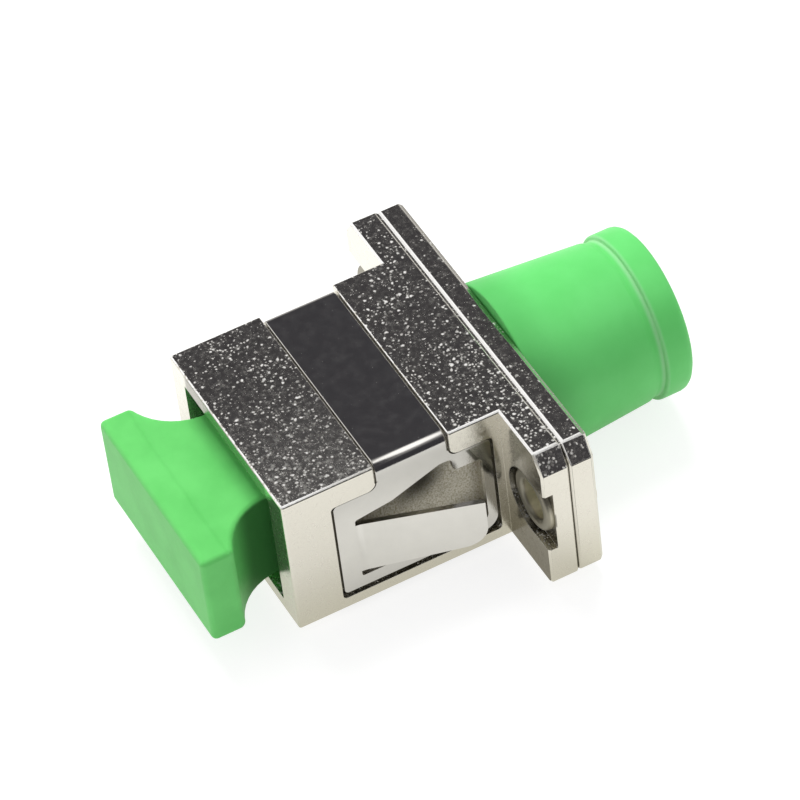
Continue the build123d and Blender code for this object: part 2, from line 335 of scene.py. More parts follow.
@dataclass(frozen=True)
class CastNickel(Finish):
    """Nickel plate over a die casting, pitted all over and as cast inside the clip's seat, with
    painted glints, highlights and shade.
    """

    name: str = "Pitted cast nickel"
    metal: Colour = (0.80, 0.775, 0.71)
    # Tone towards the foot, a painted reflection of the shaded floor.
    low: Colour = (0.66, 0.635, 0.54)
    # White of the pits, a painted glint.
    pit_glint: Colour = (0.98, 0.97, 0.95)
    sand: Colour = (0.50, 0.46, 0.34)
    # Colour of painted shade: the seat's shadow, the recesses, the lip, the line under an edge and
    # the seam.
    painted_shade: Colour = (0.05, 0.045, 0.03)
    # Painted shade on the flange's front face beside the housing.
    corner_shade: Colour = (0.10, 0.08, 0.03)
    coarse_per_mm: float = 2.9
    fine_per_mm: float = 5.0
    sway_mm: float = 0.22
    smooth: float = 0.14
    rough: float = 0.5
    depth_mm: float = 0.012
    seat_x_mm: float = 6.25
    seat_y_mm: Span = (-10.1, -0.4)
    seat_z_mm: float = 4.3
    gap_mm: tuple[float, float, float] = (-9.87, -0.66, -3.6)
    gap_width_mm: float = 0.06
    shadow_spot_mm: Span = (-4.4, 0.9)
    shadow_spot_reach_mm: Span = (1.5, 0.15)
    hole_x_mm: float = 9.0
    recess_mm: float = 2.03
    recess_y_mm: float = 0.6
    plate_y_mm: Span = (-0.1, 0.02)
    sheltered_x_mm: Span = (-1.0, 1.0)
    mouth_mm: float = -12.7
    lip_x_mm: Span = (4.9, 4.5)
    lip_z_mm: Span = (3.3, 3.7)
    face_x_mm: Span = (6.2, 6.7)
    face_y_mm: Span = (-0.2, -0.05)
    face_z_mm: Span = (5.0, -4.0)
    clean_y_mm: Span = (1.5, 1.9)
    pale_patch_x_mm: Span = (-3.0, 6.5)
    pale_patch_y_mm: Span = (-6.0, -9.0)
    low_shade_z_mm: Span = (0.5, -5.2)
    seam_mm: float = 1.65
    beaded_highlight_y_mm: Span = (-0.5, -0.1)
    on_edge: bool = False

    def swayed(self, tree: Coat) -> Wire:
        """The place pushed about a little, so that pits are not round.

        Args:
            tree: The material's shader.

        Returns:
            The moved coordinates.
        """
        drift = tree.noise(tree.place, 3.1, 2.0, output="Color")
        off = tree.vector("SUBTRACT", drift, (0.5, 0.5, 0.5))
        return tree.vector("ADD", tree.place, tree.times(off, self.sway_mm))

    def pits(self, tree: Coat, place: Wire, cloud: Wire, per_mm: float, spread: float) -> Wire:
        """One size of pits.

        Args:
            tree: The material's shader.
            place: Swayed coordinates in millimetres.
            cloud: Where pits crowd together.
            per_mm: How many could lie on a millimetre.
            spread: The pit's reach, as a share of its cell.

        Returns:
            1 inside the pits and 0 on the plate.
        """
        cell = tree.cells(place, per_mm)
        luck = tree.node("SeparateColor", None, {0: tree.cells(place, per_mm, "Color")})
        crowd = (cloud - 0.5) * 1.9 + tree.part(place, 0) * 0.022
        crowd = crowd - tree.part(place, 1).ramp(*self.clean_y_mm) * 0.3
        return cell.ramp(spread, 0.1) * (luck + crowd).ramp(0.3, 0.8)

    def seat_mask(self, tree: Coat) -> Wire:
        """The clip's seat.

        Args:
            tree: The material's shader.

        Returns:
            1 inside the seat, 0 on the outer faces.
        """
        inside = tree.size(tree.x).ramp(self.seat_x_mm, self.seat_x_mm - 0.1)
        low, high = self.seat_y_mm
        span = tree.y.ramp(low, low + 0.1) * tree.y.ramp(high, high - 0.1)
        return inside * span * tree.z.ramp(self.seat_z_mm, self.seat_z_mm - 0.1)

    def seat_shadow_mask(self, tree: Coat) -> Wire:
        """Painted shadow in the seat: under the window's sloped edge and in the gaps round the
        panel.

        Args:
            tree: The material's shader.

        Returns:
            1 where the shadow is painted.
        """
        mouth_end, flange_end, foot = self.gap_mm
        spot_y, spot_z = self.shadow_spot_mm
        off_along = (tree.y - spot_y) * 0.75
        shadow_spot = tree.reach(off_along, (tree.z - spot_z) - off_along * 0.35)
        shadow_spot = shadow_spot.ramp(*self.shadow_spot_reach_mm)
        rear = tree.y.ramp(flange_end - self.gap_width_mm, flange_end)
        front = tree.y.ramp(mouth_end + self.gap_width_mm, mouth_end)
        under = tree.z.ramp(foot + self.gap_width_mm, foot)
        return shadow_spot.highest(rear).highest(front).highest(under)

    def corner_shade_mask(self, tree: Coat) -> Wire:
        """Painted shade on the flange's front face beside the square housing.

        Args:
            tree: The material's shader.

        Returns:
            Nearly 1 at the face's foot and less towards its top.
        """
        near = tree.x.ramp(*self.face_x_mm) * tree.z.ramp(*self.face_z_mm, 0.36, 0.97)
        return near * tree.facing(Axis.Y).ramp(-0.8, -1.0) * tree.y.ramp(*self.face_y_mm)

    def recess_and_lip_shade_mask(self, tree: Coat) -> Wire:
        """Painted shade in the eyelets' round seats and on the lip over the mouth.

        Args:
            tree: The material's shader.

        Returns:
            Up to 1 where the shade is painted.
        """
        width = tree.size(tree.x)
        reach = tree.reach(width - self.hole_x_mm, tree.z)
        seat = reach.ramp(self.recess_mm + 0.05, self.recess_mm)
        seat = seat * tree.y.ramp(self.recess_y_mm + 0.05, self.recess_y_mm)
        front = tree.y.ramp(self.mouth_mm + 0.15, self.mouth_mm + 0.05)
        front = front * tree.facing(Axis.Y).ramp(-0.6, -0.95)
        lip = front * width.ramp(*self.lip_x_mm) * tree.z.ramp(*self.lip_z_mm)
        sheltered = tree.x.ramp(*self.sheltered_x_mm, 0.0, 0.85)
        return (tree.y.ramp(*self.plate_y_mm) * seat * sheltered).highest(lip * 0.75)

    def edge_highlight_mask(self, tree: Coat) -> tuple[Wire, Wire]:
        """Painted highlights on the casting's upward edges, and a painted shade line under a near
        edge and in the seam between the plates.

        Args:
            tree: The material's shader.

        Returns:
            1 where a highlight is painted on an edge, and 1 in the painted shade line under a near
            edge or in the seam.
        """
        up, near, front = (tree.facing(axis) for axis in (Axis.Z, Axis.X, Axis.Y))
        across = near.ramp(0.04, 0.16) * front.ramp(0.25, -0.05) * up.ramp(0.5, 0.56)
        past_seam = tree.size(tree.y - self.seam_mm)
        beaded_highlight = tree.clouds(3.6, 1.0).ramp(0.41, 0.5, 0.1, 1.0)
        beaded_highlight = beaded_highlight.highest(tree.y.ramp(*self.beaded_highlight_y_mm))
        beaded_highlight = beaded_highlight * front.ramp(-0.12, -0.34) * past_seam.ramp(0.04, 0.07)
        line = near.ramp(0.4, 0.6) * up.ramp(0.0, 0.02) * up.ramp(0.5, 0.45)
        line = line * tree.size(front).ramp(0.3, 0.1)
        seam = past_seam.ramp(0.06, 0.02) * up.ramp(0.5, 0.3)
        return across.highest(beaded_highlight * up.ramp(0.48, 0.6)), line.highest(seam * 0.7)

    def paint(self, tree: Coat) -> None:
        """Adds the finish's nodes.

        Args:
            tree: The material's shader.
        """
        swayed = self.swayed(tree)
        cloud = tree.clouds(0.55, 4.0, 0.6)
        # The pits and pale specks, mostly on upward faces, are painted white glints.
        top = tree.facing(Axis.Z).ramp(0.1, 0.5, 0.04, 1.0)
        coarse = self.pits(tree, swayed, cloud, self.coarse_per_mm, 0.34)
        fine = self.pits(tree, swayed, cloud, self.fine_per_mm, 0.42)
        pits = coarse.highest(fine * 0.85) * top
        grain = tree.clouds(9.0, 4.0, 0.65)
        haze = tree.clouds(2.6, 5.0, 0.72).ramp(0.3, 0.8)
        seat = self.seat_mask(tree)
        # A paler patch of the top towards the mouth, with more pale specks: painted glints like the
        # pits.
        pale_patch = tree.x.ramp(*self.pale_patch_x_mm) * tree.y.ramp(*self.pale_patch_y_mm)
        dust = tree.clouds(5.5, 3.0, 0.7).ramp(0.4, 0.75) * haze * top * (pale_patch * 0.35 + 0.22)
        glints_and_highlights = pits.highest(dust) * (1.0 - pale_patch * 0.2) + pale_patch * top * 0.04
        # Painted shade: the plate darkens towards its foot, where the shaded floor is reflected.
        plate = tree.mix(tree.z.ramp(*self.low_shade_z_mm), self.metal, self.low)
        plate = tree.mix(seat * grain.ramp(0.42, 0.62), plate, self.sand)
        # Painted shade on the flange's near front face.
        plate = tree.mix(self.corner_shade_mask(tree), plate, self.corner_shade)
        # Painted shadow in the seat, and painted shade in the eyelets' seats, on the lip over the
        # mouth, under a near edge and in the seam.
        dark = seat * self.seat_shadow_mask(tree) * 0.9
        dark = dark.highest(self.recess_and_lip_shade_mask(tree) * 0.8)
        if self.on_edge:
            # Painted highlights on upward edges, and painted shade under a near edge and in the
            # seam.
            bright, line = self.edge_highlight_mask(tree)
            glints_and_highlights, dark = glints_and_highlights.highest(bright), dark.highest(line)
        height = pits * 1.5 + grain * 0.2 + cloud * 0.5 + seat * grain * 1.2
        tree.surface(
            Base_Color=tree.mix(dark, tree.mix(glints_and_highlights, plate, self.pit_glint), self.painted_shade),
            Metallic=1.0 - glints_and_highlights * (1.0 if self.on_edge else 0.75) - seat * 0.2,
            Roughness=self.smooth + glints_and_highlights * (self.rough - self.smooth) + haze * 0.2 + seat * 0.22,
            Normal=tree.bump(height, self.depth_mm),
        )


@dataclass(frozen=True)
class SheetSteel(Finish):
    """Smooth rolled and plated spring sheet, with painted reflections and shade on its panel."""

    name: str = "Rolled spring sheet"
    metal: Colour = (0.80, 0.79, 0.765)
    smooth: float = 0.09
    depth_mm: float = 0.006
    rolling: Place = (1.0, 9.0, 1.0)
    panel_mm: Span = (6.3, 6.54)
    panel_z_mm: float = -0.4
    panel_shade_mm: Span = (1.0, 4.0)
    fold_mm: Span = (-1.9, 2.75)
    fold_way: Span = (0.91, 0.41)
    fold_foot_mm: Span = (0.35, 0.7)
    fold_top_mm: Span = (2.9, 2.75)
    # Painted reflection on the upper rear corner, and painted shade along its slope.
    bent: Colour = (0.34, 0.34, 0.28)
    crease_shade: Colour = (0.10, 0.10, 0.08)

    def fold_shading(self, tree: Coat, colour: Wire) -> Wire:
        """Painted reflection on the panel's upper rear corner, and a painted shade line along its
        slope.

        Args:
            tree: The material's shader.
            colour: The sheet's colour.

        Returns:
            The colour with the crease.
        """
        past = (tree.y - self.fold_mm[0]) * self.fold_way[0]
        past = past + (tree.z - self.fold_mm[1]) * self.fold_way[1]
        high = tree.z.ramp(*self.fold_foot_mm) * tree.z.ramp(*self.fold_top_mm)
        corner = past.ramp(-0.05, 0.05) * high
        crease = tree.size(past + 0.02).ramp(0.16, 0.04) * high
        return tree.mix(crease * 0.85, tree.mix(corner * 0.8, colour, self.bent), self.crease_shade)

    def paint(self, tree: Coat) -> None:
        """Adds the finish's nodes.

        Args:
            tree: The material's shader.
        """
        lines = tree.noise(tree.vector("MULTIPLY", tree.place, self.rolling), 1.6, 4.0, 0.6)
        cloud = tree.clouds(0.9, 4.0, 0.55)
        grain = tree.clouds(16.0, 2.0)
        side = tree.size(tree.x)
        inner, outer = self.panel_mm
        panel = side.ramp(inner, inner + 0.1) * side.ramp(outer + 0.05, outer)
        # The panel darkens towards its top and bottom: a painted reflection of the sheet's slight
        # bulge.
        rim = tree.size(tree.z - self.panel_z_mm).ramp(*self.panel_shade_mm)
        tint = tree.mix(cloud * 0.3 + panel * rim * 0.55, self.metal, scaled(self.metal, 0.66))
        film = tree.clouds(1.7, 5.0, 0.65).ramp(0.4, 0.75) * 0.022
        tree.surface(
            Base_Color=self.fold_shading(tree, tint),
            Metallic=1.0 - film * tree.facing(Axis.Z).ramp(0.9, 1.0),
            Roughness=self.smooth + cloud * 0.08 + grain * 0.05,
            Normal=tree.bump(cloud * 0.6 + lines * 0.2 + grain * 0.1, self.depth_mm),
        )


@dataclass(frozen=True)
class TurnedMetal(Finish):
    """Turned and plated metal with faint rings round the axis, and painted shade on its front where
    that is set.
    """

    name: str
    metal: Colour
    smooth: float = 0.14
    depth_mm: float = 0.008
    ring_stretch: Place = (0.3, 12.0, 0.3)
    dull_front_mm: float | None = None

    def paint(self, tree: Coat) -> None:
        """Adds the finish's nodes.

        Args:
            tree: The material's shader.
        """
        rings = tree.noise(tree.vector("MULTIPLY", tree.place, self.ring_stretch), 1.5, 2.0)
        grain = tree.clouds(9.0, 3.0)
        tint = tree.mix(grain, scaled(self.metal, 0.86), self.metal)
        # Painted shade on the eyelet's front, down in its seat.
        if self.dull_front_mm is not None:
            front = tree.y.ramp(self.dull_front_mm + 0.2, self.dull_front_mm)
            tint = tree.mix(front, tint, scaled(self.metal, 0.4))
        tree.surface(
            Base_Color=tint,
            Metallic=1.0,
            Roughness=self.smooth + grain * 0.12,
            Normal=tree.bump(rings * 0.5 + grain * 0.3, self.depth_mm),
        )


@dataclass(frozen=True)
class MouldedPlastic(Finish):
    """Satin moulded plastic with a faint orange-peel skin, and painted shade and a painted
    highlight where set.
    """

    name: str
    colour: Colour
    shade: Colour
    smooth: float = 0.36
    glow: float = 0.0
    glow_mm: float = 0.8
    glow_reach: Colour = (0.6, 1.0, 0.6)
    depth_mm: float = 0.006
    crease_y_mm: float | None = None
    crease_mm: float = 0.2
    hollow_y_mm: Span | None = None
    pale_y_mm: float | None = None
    highlight_ring_mm: float = 0.28
    sheltered_y_mm: Span | None = None

    def painted_shade_mask(self, tree: Coat) -> Any:
        """Painted shade, down in the scooped sides or beside the flange.

        Args:
            tree: The material's shader.

        Returns:
            Up to 1 where shade is painted, and plain 0.0 for plastic without it.
        """
        if self.sheltered_y_mm is not None:
            low, high = self.sheltered_y_mm
            return tree.y.ramp(high, low, 0.0, 0.34)
        if self.hollow_y_mm is not None:
            return tree.size(tree.facing(Axis.Z)).ramp(0.8, 0.3) * tree.y.ramp(*self.hollow_y_mm)
        return 0.0

    def crease(self, tree: Coat) -> Any:
        """A faint dent across the grip, darkened by painted shade.

        Args:
            tree: The material's shader.

        Returns:
            1 in the dent, and plain 0.0 for plastic without one.
        """
        if self.crease_y_mm is None:
            return 0.0
        wave = tree.clouds(0.5, 2.0)
        off = tree.y - self.crease_y_mm + (wave - 0.5) * 0.25
        return tree.size(off).ramp(self.crease_mm, 0.0) * tree.facing(Axis.Z).ramp(0.6, 0.9)

    def paint(self, tree: Coat) -> None:
        """Adds the finish's nodes.

        Args:
            tree: The material's shader.
        """
        cloud = tree.clouds(0.35, 4.0, 0.55)
        dent = self.crease(tree)
        # The dent's darker colour is painted shade in it.
        tint = tree.mix(cloud.ramp(0.3, 0.75) * 0.8 + dent * 0.3, self.colour, self.shade)
        # A pale ring painted on the groove's lip, a painted highlight.
        if self.pale_y_mm is not None:
            highlit = tree.size(tree.y - self.pale_y_mm).ramp(self.highlight_ring_mm, 0.0)
            pale = scaled(self.colour, 0.7, 0.27)
            tint = tree.mix(highlit * cloud.ramp(0.2, 0.7, 0.4, 0.9), tint, pale)
        skin = tree.clouds(5.0, 3.0, 0.6)
        grain = tree.clouds(22.0, 2.0)
        tree.surface(
            # Painted shade in the scooped sides and beside the flange.
            Base_Color=tree.mix(self.painted_shade_mask(tree), tint, scaled(self.shade, 0.38)),
            Roughness=self.smooth + skin * 0.12,
            Normal=tree.bump(skin * 0.7 + grain * 0.3 - dent * 3.0, self.depth_mm),
            Subsurface_Weight=self.glow,
            Subsurface_Radius=self.glow_reach,
            Subsurface_Scale=self.glow_mm * MM,
        )


def made(kind: Callable[..., Finish], *values: Any, **named: Any) -> Any:
    """A dataclass field whose value is a finish's material."""
    return field(default_factory=lambda: kind(*values, **named).make())


@dataclass
class Finishes:
    """Every finish of the adapter, made once."""

    cast: Paint = made(CastNickel)
    # The casting's edges, with painted highlights.
    cast_edge: Paint = made(CastNickel, name="Cast nickel worn on its edges", on_edge=True)
    sheet: Paint = made(SheetSteel)
    eyelet: Paint = made(
        TurnedMetal, "Plated eyelet", (0.82, 0.78, 0.64), smooth=0.4, dull_front_mm=0.3
    )
    holder: Paint = made(TurnedMetal, "Turned holder", (0.80, 0.77, 0.68))
    green: Paint = made(
        MouldedPlastic, "Green dust cover plastic", (0.165, 0.78, 0.20), (0.135, 0.72, 0.165),
        smooth=0.42, glow=0.12, pale_y_mm=10.78, sheltered_y_mm=(3.2, 6.4),
    )
    plug: Paint = made(
        MouldedPlastic, "Green dust plug plastic", (0.17, 0.74, 0.18), (0.13, 0.64, 0.14),
        smooth=0.42, glow=0.1, crease_y_mm=-15.75, hollow_y_mm=(-15.3, -13.6),
    )
    insert: Paint = made(
        MouldedPlastic, "Insert plastic", (0.80, 0.80, 0.76), (0.74, 0.74, 0.70), smooth=0.4
    )
    ceramic: Paint = made(
        MouldedPlastic, "White ceramic", (0.90, 0.89, 0.85), (0.86, 0.85, 0.81), smooth=0.12
    )


# Modelling by hand, in code


def leave_edit() -> None:
    """Goes back to object mode."""
    bpy.ops.object.mode_set(mode="OBJECT")


def deselect_all() -> None:
    """Leaves edit mode with nothing selected."""
    if bpy.context.mode != "OBJECT":
        leave_edit()
    bpy.ops.object.select_all(action="DESELECT")


def make_active(piece: Piece) -> None:
    """Selects one piece alone and makes it the active one.

    Args:
        piece: The piece.
    """
    deselect_all()
    piece.select_set(True)
    bpy.context.view_layer.objects.active = piece


def select_all() -> None:
    """Selects all of the mesh that is in edit mode."""
    bpy.ops.mesh.select_all(action="SELECT")


def edit(piece: Piece) -> None:
    """Opens one piece in edit mode with all of it selected.

    Args:
        piece: The piece.
    """
    make_active(piece)
    bpy.ops.object.mode_set(mode="EDIT")
    select_all()


def pick(piece: Piece, mode: str, test: Callable[[Any], bool]) -> None:
    """Selects only the vertices, edges or faces that pass a test, in edit mode.

    Args:
        piece: The piece in edit mode.
        mode: VERT, EDGE or FACE.
        test: Takes a bmesh vertex, edge or face.
    """
    bpy.ops.mesh.select_mode(type=mode)
    bpy.ops.mesh.select_all(action="DESELECT")
    mesh = bmesh.from_edit_mesh(piece.data)
    for item in {"VERT": mesh.verts, "EDGE": mesh.edges, "FACE": mesh.faces}[mode]:
        if test(item):
            item.select_set(True)
    mesh.select_flush_mode()
    bmesh.update_edit_mesh(piece.data)


def apply_modifier(piece: Piece, kind: str, **settings: Any) -> None:
    """Adds a modifier to the piece and applies it.

    Args:
        piece: The piece.
        kind: The modifier's type.
        **settings: The modifier's attributes.
    """
    make_active(piece)
    modifier = piece.modifiers.new(kind.title(), kind)
    for name, value in settings.items():
        setattr(modifier, name, value)
    bpy.ops.object.modifier_apply(modifier=modifier.name)


def smooth_by_angle(piece: Piece, degrees: float) -> None:
    """Shades smooth over edges flatter than an angle."""
    make_active(piece)
    bpy.ops.object.shade_smooth_by_angle(angle=math.radians(degrees))


def shade(piece: Piece, degrees: float) -> None:
    """Shades smooth below an angle and keeps the flat faces looking flat."""
    smooth_by_angle(piece, degrees)
    apply_modifier(piece, "WEIGHTED_NORMAL", mode="FACE_AREA", weight=100, keep_sharp=True)


def combine(piece: Piece, tool: Piece, operation: str) -> None:
    """Adds or takes away a tool, which is then removed."""
    apply_modifier(piece, "BOOLEAN", object=tool, operation=operation, solver="EXACT")
    bpy.data.objects.remove(tool)


def soften_edges(
    piece: Piece, width_mm: float, degrees: float, number: int = -1, segments: int = EDGE_FLATS
) -> None:
    """Rounds the edges sharper than an angle.

    Args:
        piece: The piece.
        width_mm: The rounding.
        degrees: The angle.
        number: The rounded faces' material slot, or -1 for their neighbours'.
        segments: Flats across the rounding.
    """
    apply_modifier(
        piece, "BEVEL", width=width_mm * MM, segments=segments, limit_method="ANGLE",
        angle_limit=math.radians(degrees), use_clamp_overlap=True, material=number,
    )


def round_edges(
    piece: Piece, chosen: Callable[[Edge], bool], width_mm: float, number: int = -1
) -> None:
    """Rounds the edges that pass a test.

    Args:
        piece: The piece.
        chosen: Takes a bmesh edge.
        width_mm: The rounding.
        number: The rounded faces' material slot, or -1 for their neighbours'.
    """
    edit(piece)
    pick(piece, "EDGE", chosen)
    bpy.ops.mesh.bevel(
        offset=width_mm * MM, segments=EDGE_FLATS, affect="EDGES", material=number
    )
    leave_edit()


def runs_across(edge: Edge, along_mm: Sequence[float]) -> bool:
    """Whether an edge lies at one of some places along the axis."""
    return any(all(abs(v.co.y / MM - y) < NEAR_MM for v in edge.verts) for y in along_mm)


def lone_vertex(name: str, place: Place) -> Piece:
    """A plane merged to one vertex, left in edit mode with it selected.

    Args:
        name: The new piece's name.
        place: The vertex, in metres.

    Returns:
        The piece.
    """
    deselect_all()
    bpy.ops.mesh.primitive_plane_add(size=MM, location=(0, 0, 0))
    piece = bpy.context.active_object
    piece.name = name
    piece.data.name = name
    edit(piece)
    bpy.ops.mesh.select_mode(type="VERT")
    select_all()
    bpy.ops.mesh.merge(type="CENTER")
    bpy.ops.transform.translate(value=place)
    return piece


def draw_line(places: Sequence[Place]) -> None:
    """Extrudes the selected vertex along a line of places.

    Args:
        places: The line's corners in metres, the vertex' own first.
    """
    for start, end in zip(places, places[1:]):
        step = Vector(end) - Vector(start)
        bpy.ops.mesh.extrude_region_move(TRANSFORM_OT_translate={"value": step})


def merge_doubles(reach: float = WELD) -> None:
    """Merges all vertices that lie within a reach of each other, in edit mode."""
    select_all()
    bpy.ops.mesh.remove_doubles(threshold=reach)


def weld_and_face_out() -> None:
    """Merges doubles and points the faces outwards, then leaves edit mode."""
    merge_doubles()
    select_all()
    bpy.ops.mesh.normals_make_consistent(inside=False)
    leave_edit()


@dataclass(frozen=True)
class Ring:
    """A corner of a turned outline, in millimetres."""

    radius: float
    along: float
    rounding: float = 0.0

    def holds(self, vertex: bmesh.types.BMVert, centre_x: float) -> bool:
        """Whether a vertex lies on the ring that the corner becomes."""
        across = math.hypot(vertex.co.x / MM - centre_x, vertex.co.z / MM)
        return max(abs(across - self.radius), abs(vertex.co.y / MM - self.along)) <= NEAR_MM


def turn(name: str, outline: Sequence[Ring], steps: int, centre_x: float = 0.0) -> Piece:
    """Turns a closed outline about an axis along Y and rounds its corners.

    Args:
        name: The new piece's name.
        outline: The corners in order, with a rounding where there is one.
        steps: Flats round the axis.
        centre_x: The axis' place across, in millimetres.

    Returns:
        The turned piece.
    """
    places = [((ring.radius + centre_x) * MM, ring.along * MM, 0.0) for ring in outline]
    closed = outline[0].radius > 0 or outline[-1].radius > 0
    path = places + places[:1] if closed else places
    piece = lone_vertex(name, path[0])
    draw_line(path)
    select_all()
    centre = (centre_x * MM, 0, 0)
    bpy.ops.mesh.spin(steps=steps, angle=2 * math.pi, center=centre, axis=Axis.Y.value)
    merge_doubles()
    for ring in (ring for ring in outline if ring.rounding > 0):
        pick(piece, "EDGE", lambda edge: all(ring.holds(v, centre_x) for v in edge.verts))
        bpy.ops.mesh.bevel(offset=ring.rounding * MM, segments=RING_FLATS, affect="EDGES")
    weld_and_face_out()
    smooth_by_angle(piece, TURNED_DEGREES)
    return piece


def node_copy(node: str, name: str) -> Piece:
    """A merged copy of a CAD node's mesh, with its flat faces joined up.

    Args:
        node: The CAD node.
        name: The new piece's name.

    Returns:
        The copy, which nothing carries yet.
    """
    deselect_all()
    piece = bpy.data.objects.new(name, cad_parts[node].data.copy())
    piece.data.name = name
    bpy.context.scene.collection.objects.link(piece)
    edit(piece)
    merge_doubles(FINE_WELD)
    bpy.ops.mesh.customdata_custom_splitnormals_clear()
    select_all()
    bpy.ops.mesh.dissolve_limited(angle_limit=math.radians(FLAT_DEGREES))
    leave_edit()
    return piece


def twin(piece: Piece, name: str, move: Place) -> Piece:
    """Copies a piece, with a mesh of its own, to another place.

    Args:
        piece: The finished piece.
        name: The copy's name.
        move: How far away the copy lies, in metres.

    Returns:
        The copy.
    """
    make_active(piece)
    bpy.ops.object.duplicate(linked=False)
    copy = bpy.context.active_object
    copy.name = name
    copy.data.name = name
    edit(copy)
    bpy.ops.transform.translate(value=move)
    leave_edit()
    return copy


def dress(piece: Piece, finish: Paint) -> None:
    """Gives a piece one finish all over, in the slots that it has.

    Args:
        piece: The piece.
        finish: Its material.
    """
    if not piece.material_slots:
        piece.data.materials.append(finish)
    for holder in piece.material_slots:
        holder.material = finish


def seat(piece: Piece, body: Body, slot: Slot, *stands_for: str) -> None:
    """Puts a finished piece on its body.

    Args:
        piece: The finished piece.
        body: The group that it moves with.
        slot: Its finish in the record, which is not used.
        *stands_for: The CAD nodes that it replaces.
    """
    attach(piece, body.value)
    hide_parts(*stands_for)
    log.info("%s: %d faces on %s", piece.name, len(piece.data.polygons), body.value)


# The adapter's pieces


@dataclass
class Castings:
    """The two die-cast housings."""

    finishes: Finishes
    edge_mm: float = 0.1
    edge_degrees: float = 33.0
    groove_mm: Span = (-7.33, -2.97)
    groove_edge_mm: float = 0.09
    skin_mm: Span = (6.35, 4.4)
    corner_mm: float = 10.2
    corner_edge_mm: float = 0.12
    corner_length_mm: float = 0.5
    plates_mm: Span = (-0.05, 2.0)
    rim_slope: Span = (0.6, 0.8)
    least_turn: float = 0.1
    highlight_slot: int = 1
    thread_mm: float = 4.0
    thread_over_mm: float = 0.05
    flank_degrees: float = 30.0
    root_mm: float = 3.62
    root_flat_mm: float = 0.2
    pitch_mm: float = 0.75
    thread_y_mm: float = 3.95
    turns: int = 10
    steps: int = 48

    def on_groove(self, edge: Edge) -> bool:
        """Whether an edge borders the strip's groove on the housing's outside."""
        (side, top), ends = self.skin_mm, [v.co / MM for v in edge.verts]
        return runs_across(edge, self.groove_mm) and all(abs(e.x) > side or e.z > top for e in ends)

    def on_corner(self, edge: Edge) -> bool:
        """Whether an edge lies between a plate's top and its sloped corner.

        Args:
            edge: An edge of a housing.

        Returns:
            True along the corner's upper end.
        """
        ends = [v.co / MM for v in edge.verts]
        at_corner = all(abs(abs(end.x) - self.corner_mm) < NEAR_MM for end in ends)
        high = all(end.z > self.skin_mm[1] for end in ends)
        return at_corner and high and edge.calc_length() > self.corner_length_mm * MM

    def on_highlit_edge(self, face: bmesh.types.BMFace) -> bool:
        """Whether a face is on a plate's chamfered rim or the square housing's rounded brow, which
        take painted highlights.

        Args:
            face: A face of a housing.

        Returns:
            True on the rim or the brow.
        """
        centre, normal = face.calc_center_median() / MM, face.normal
        low, high = self.plates_mm
        shallow, steep = self.rim_slope
        rim = shallow < abs(normal.y) < steep and low < centre.y < high
        sideways = max(abs(normal.x), abs(normal.y))
        turned = normal.z > self.least_turn and sideways > self.least_turn
        return rim or (turned and centre.z > self.skin_mm[1] and centre.y < 0)

    def paint_edge_highlights(self, piece: Piece) -> None:
        """Gives the chamfers and roundings of the casting the finish with painted edge highlights.

        Args:
            piece: The dressed housing.
        """
        piece.data.materials.append(self.finishes.cast_edge)
        edit(piece)
        pick(piece, "FACE", self.on_highlit_edge)
        piece.active_material_index = self.highlight_slot
        bpy.ops.object.material_slot_assign()
        leave_edit()

    def thread_cutter(self) -> Piece:
        """Winds the groove between the threads round the barrel.

        Returns:
            The groove as a solid tool.
        """
        over = self.thread_mm + self.thread_over_mm
        half_root = self.root_flat_mm / 2
        half_top = half_root + (over - self.root_mm) * math.tan(math.radians(self.flank_degrees))
        root = self.root_mm
        corners = [(root, -half_root), (over, -half_top), (over, half_top), (root, half_root)]
        path = [(radius * MM, (self.thread_y_mm + off) * MM, 0.0) for radius, off in corners]
        cutter = lone_vertex("thread_groove", path[0])
        draw_line(path + path[:1])
        weld_and_face_out()
        apply_modifier(
            cutter, "SCREW", axis="Y", screw_offset=self.pitch_mm * MM, iterations=self.turns,
            steps=self.steps, render_steps=self.steps,
        )
        edit(cutter)
        bpy.ops.mesh.fill_holes(sides=4)
        weld_and_face_out()
        return cutter

    def build(self) -> None:
        """Makes both housings with softened edges, and cuts the thread."""
        for node, name in (("sc_housing", "square_housing"), ("fc_housing", "threaded_housing")):
            piece = node_copy(node, name)
            dress(piece, self.finishes.cast)
            self.paint_edge_highlights(piece)
            round_edges(piece, self.on_corner, self.corner_edge_mm, self.highlight_slot)
            if node == "sc_housing":
                round_edges(piece, self.on_groove, self.groove_edge_mm, self.highlight_slot)
            soften_edges(piece, self.edge_mm, self.edge_degrees, self.highlight_slot)
            if node == "fc_housing":
                combine(piece, self.thread_cutter(), "DIFFERENCE")
            shade(piece, self.edge_degrees)
            seat(piece, Body.ADAPTER, Slot.CAST, node)


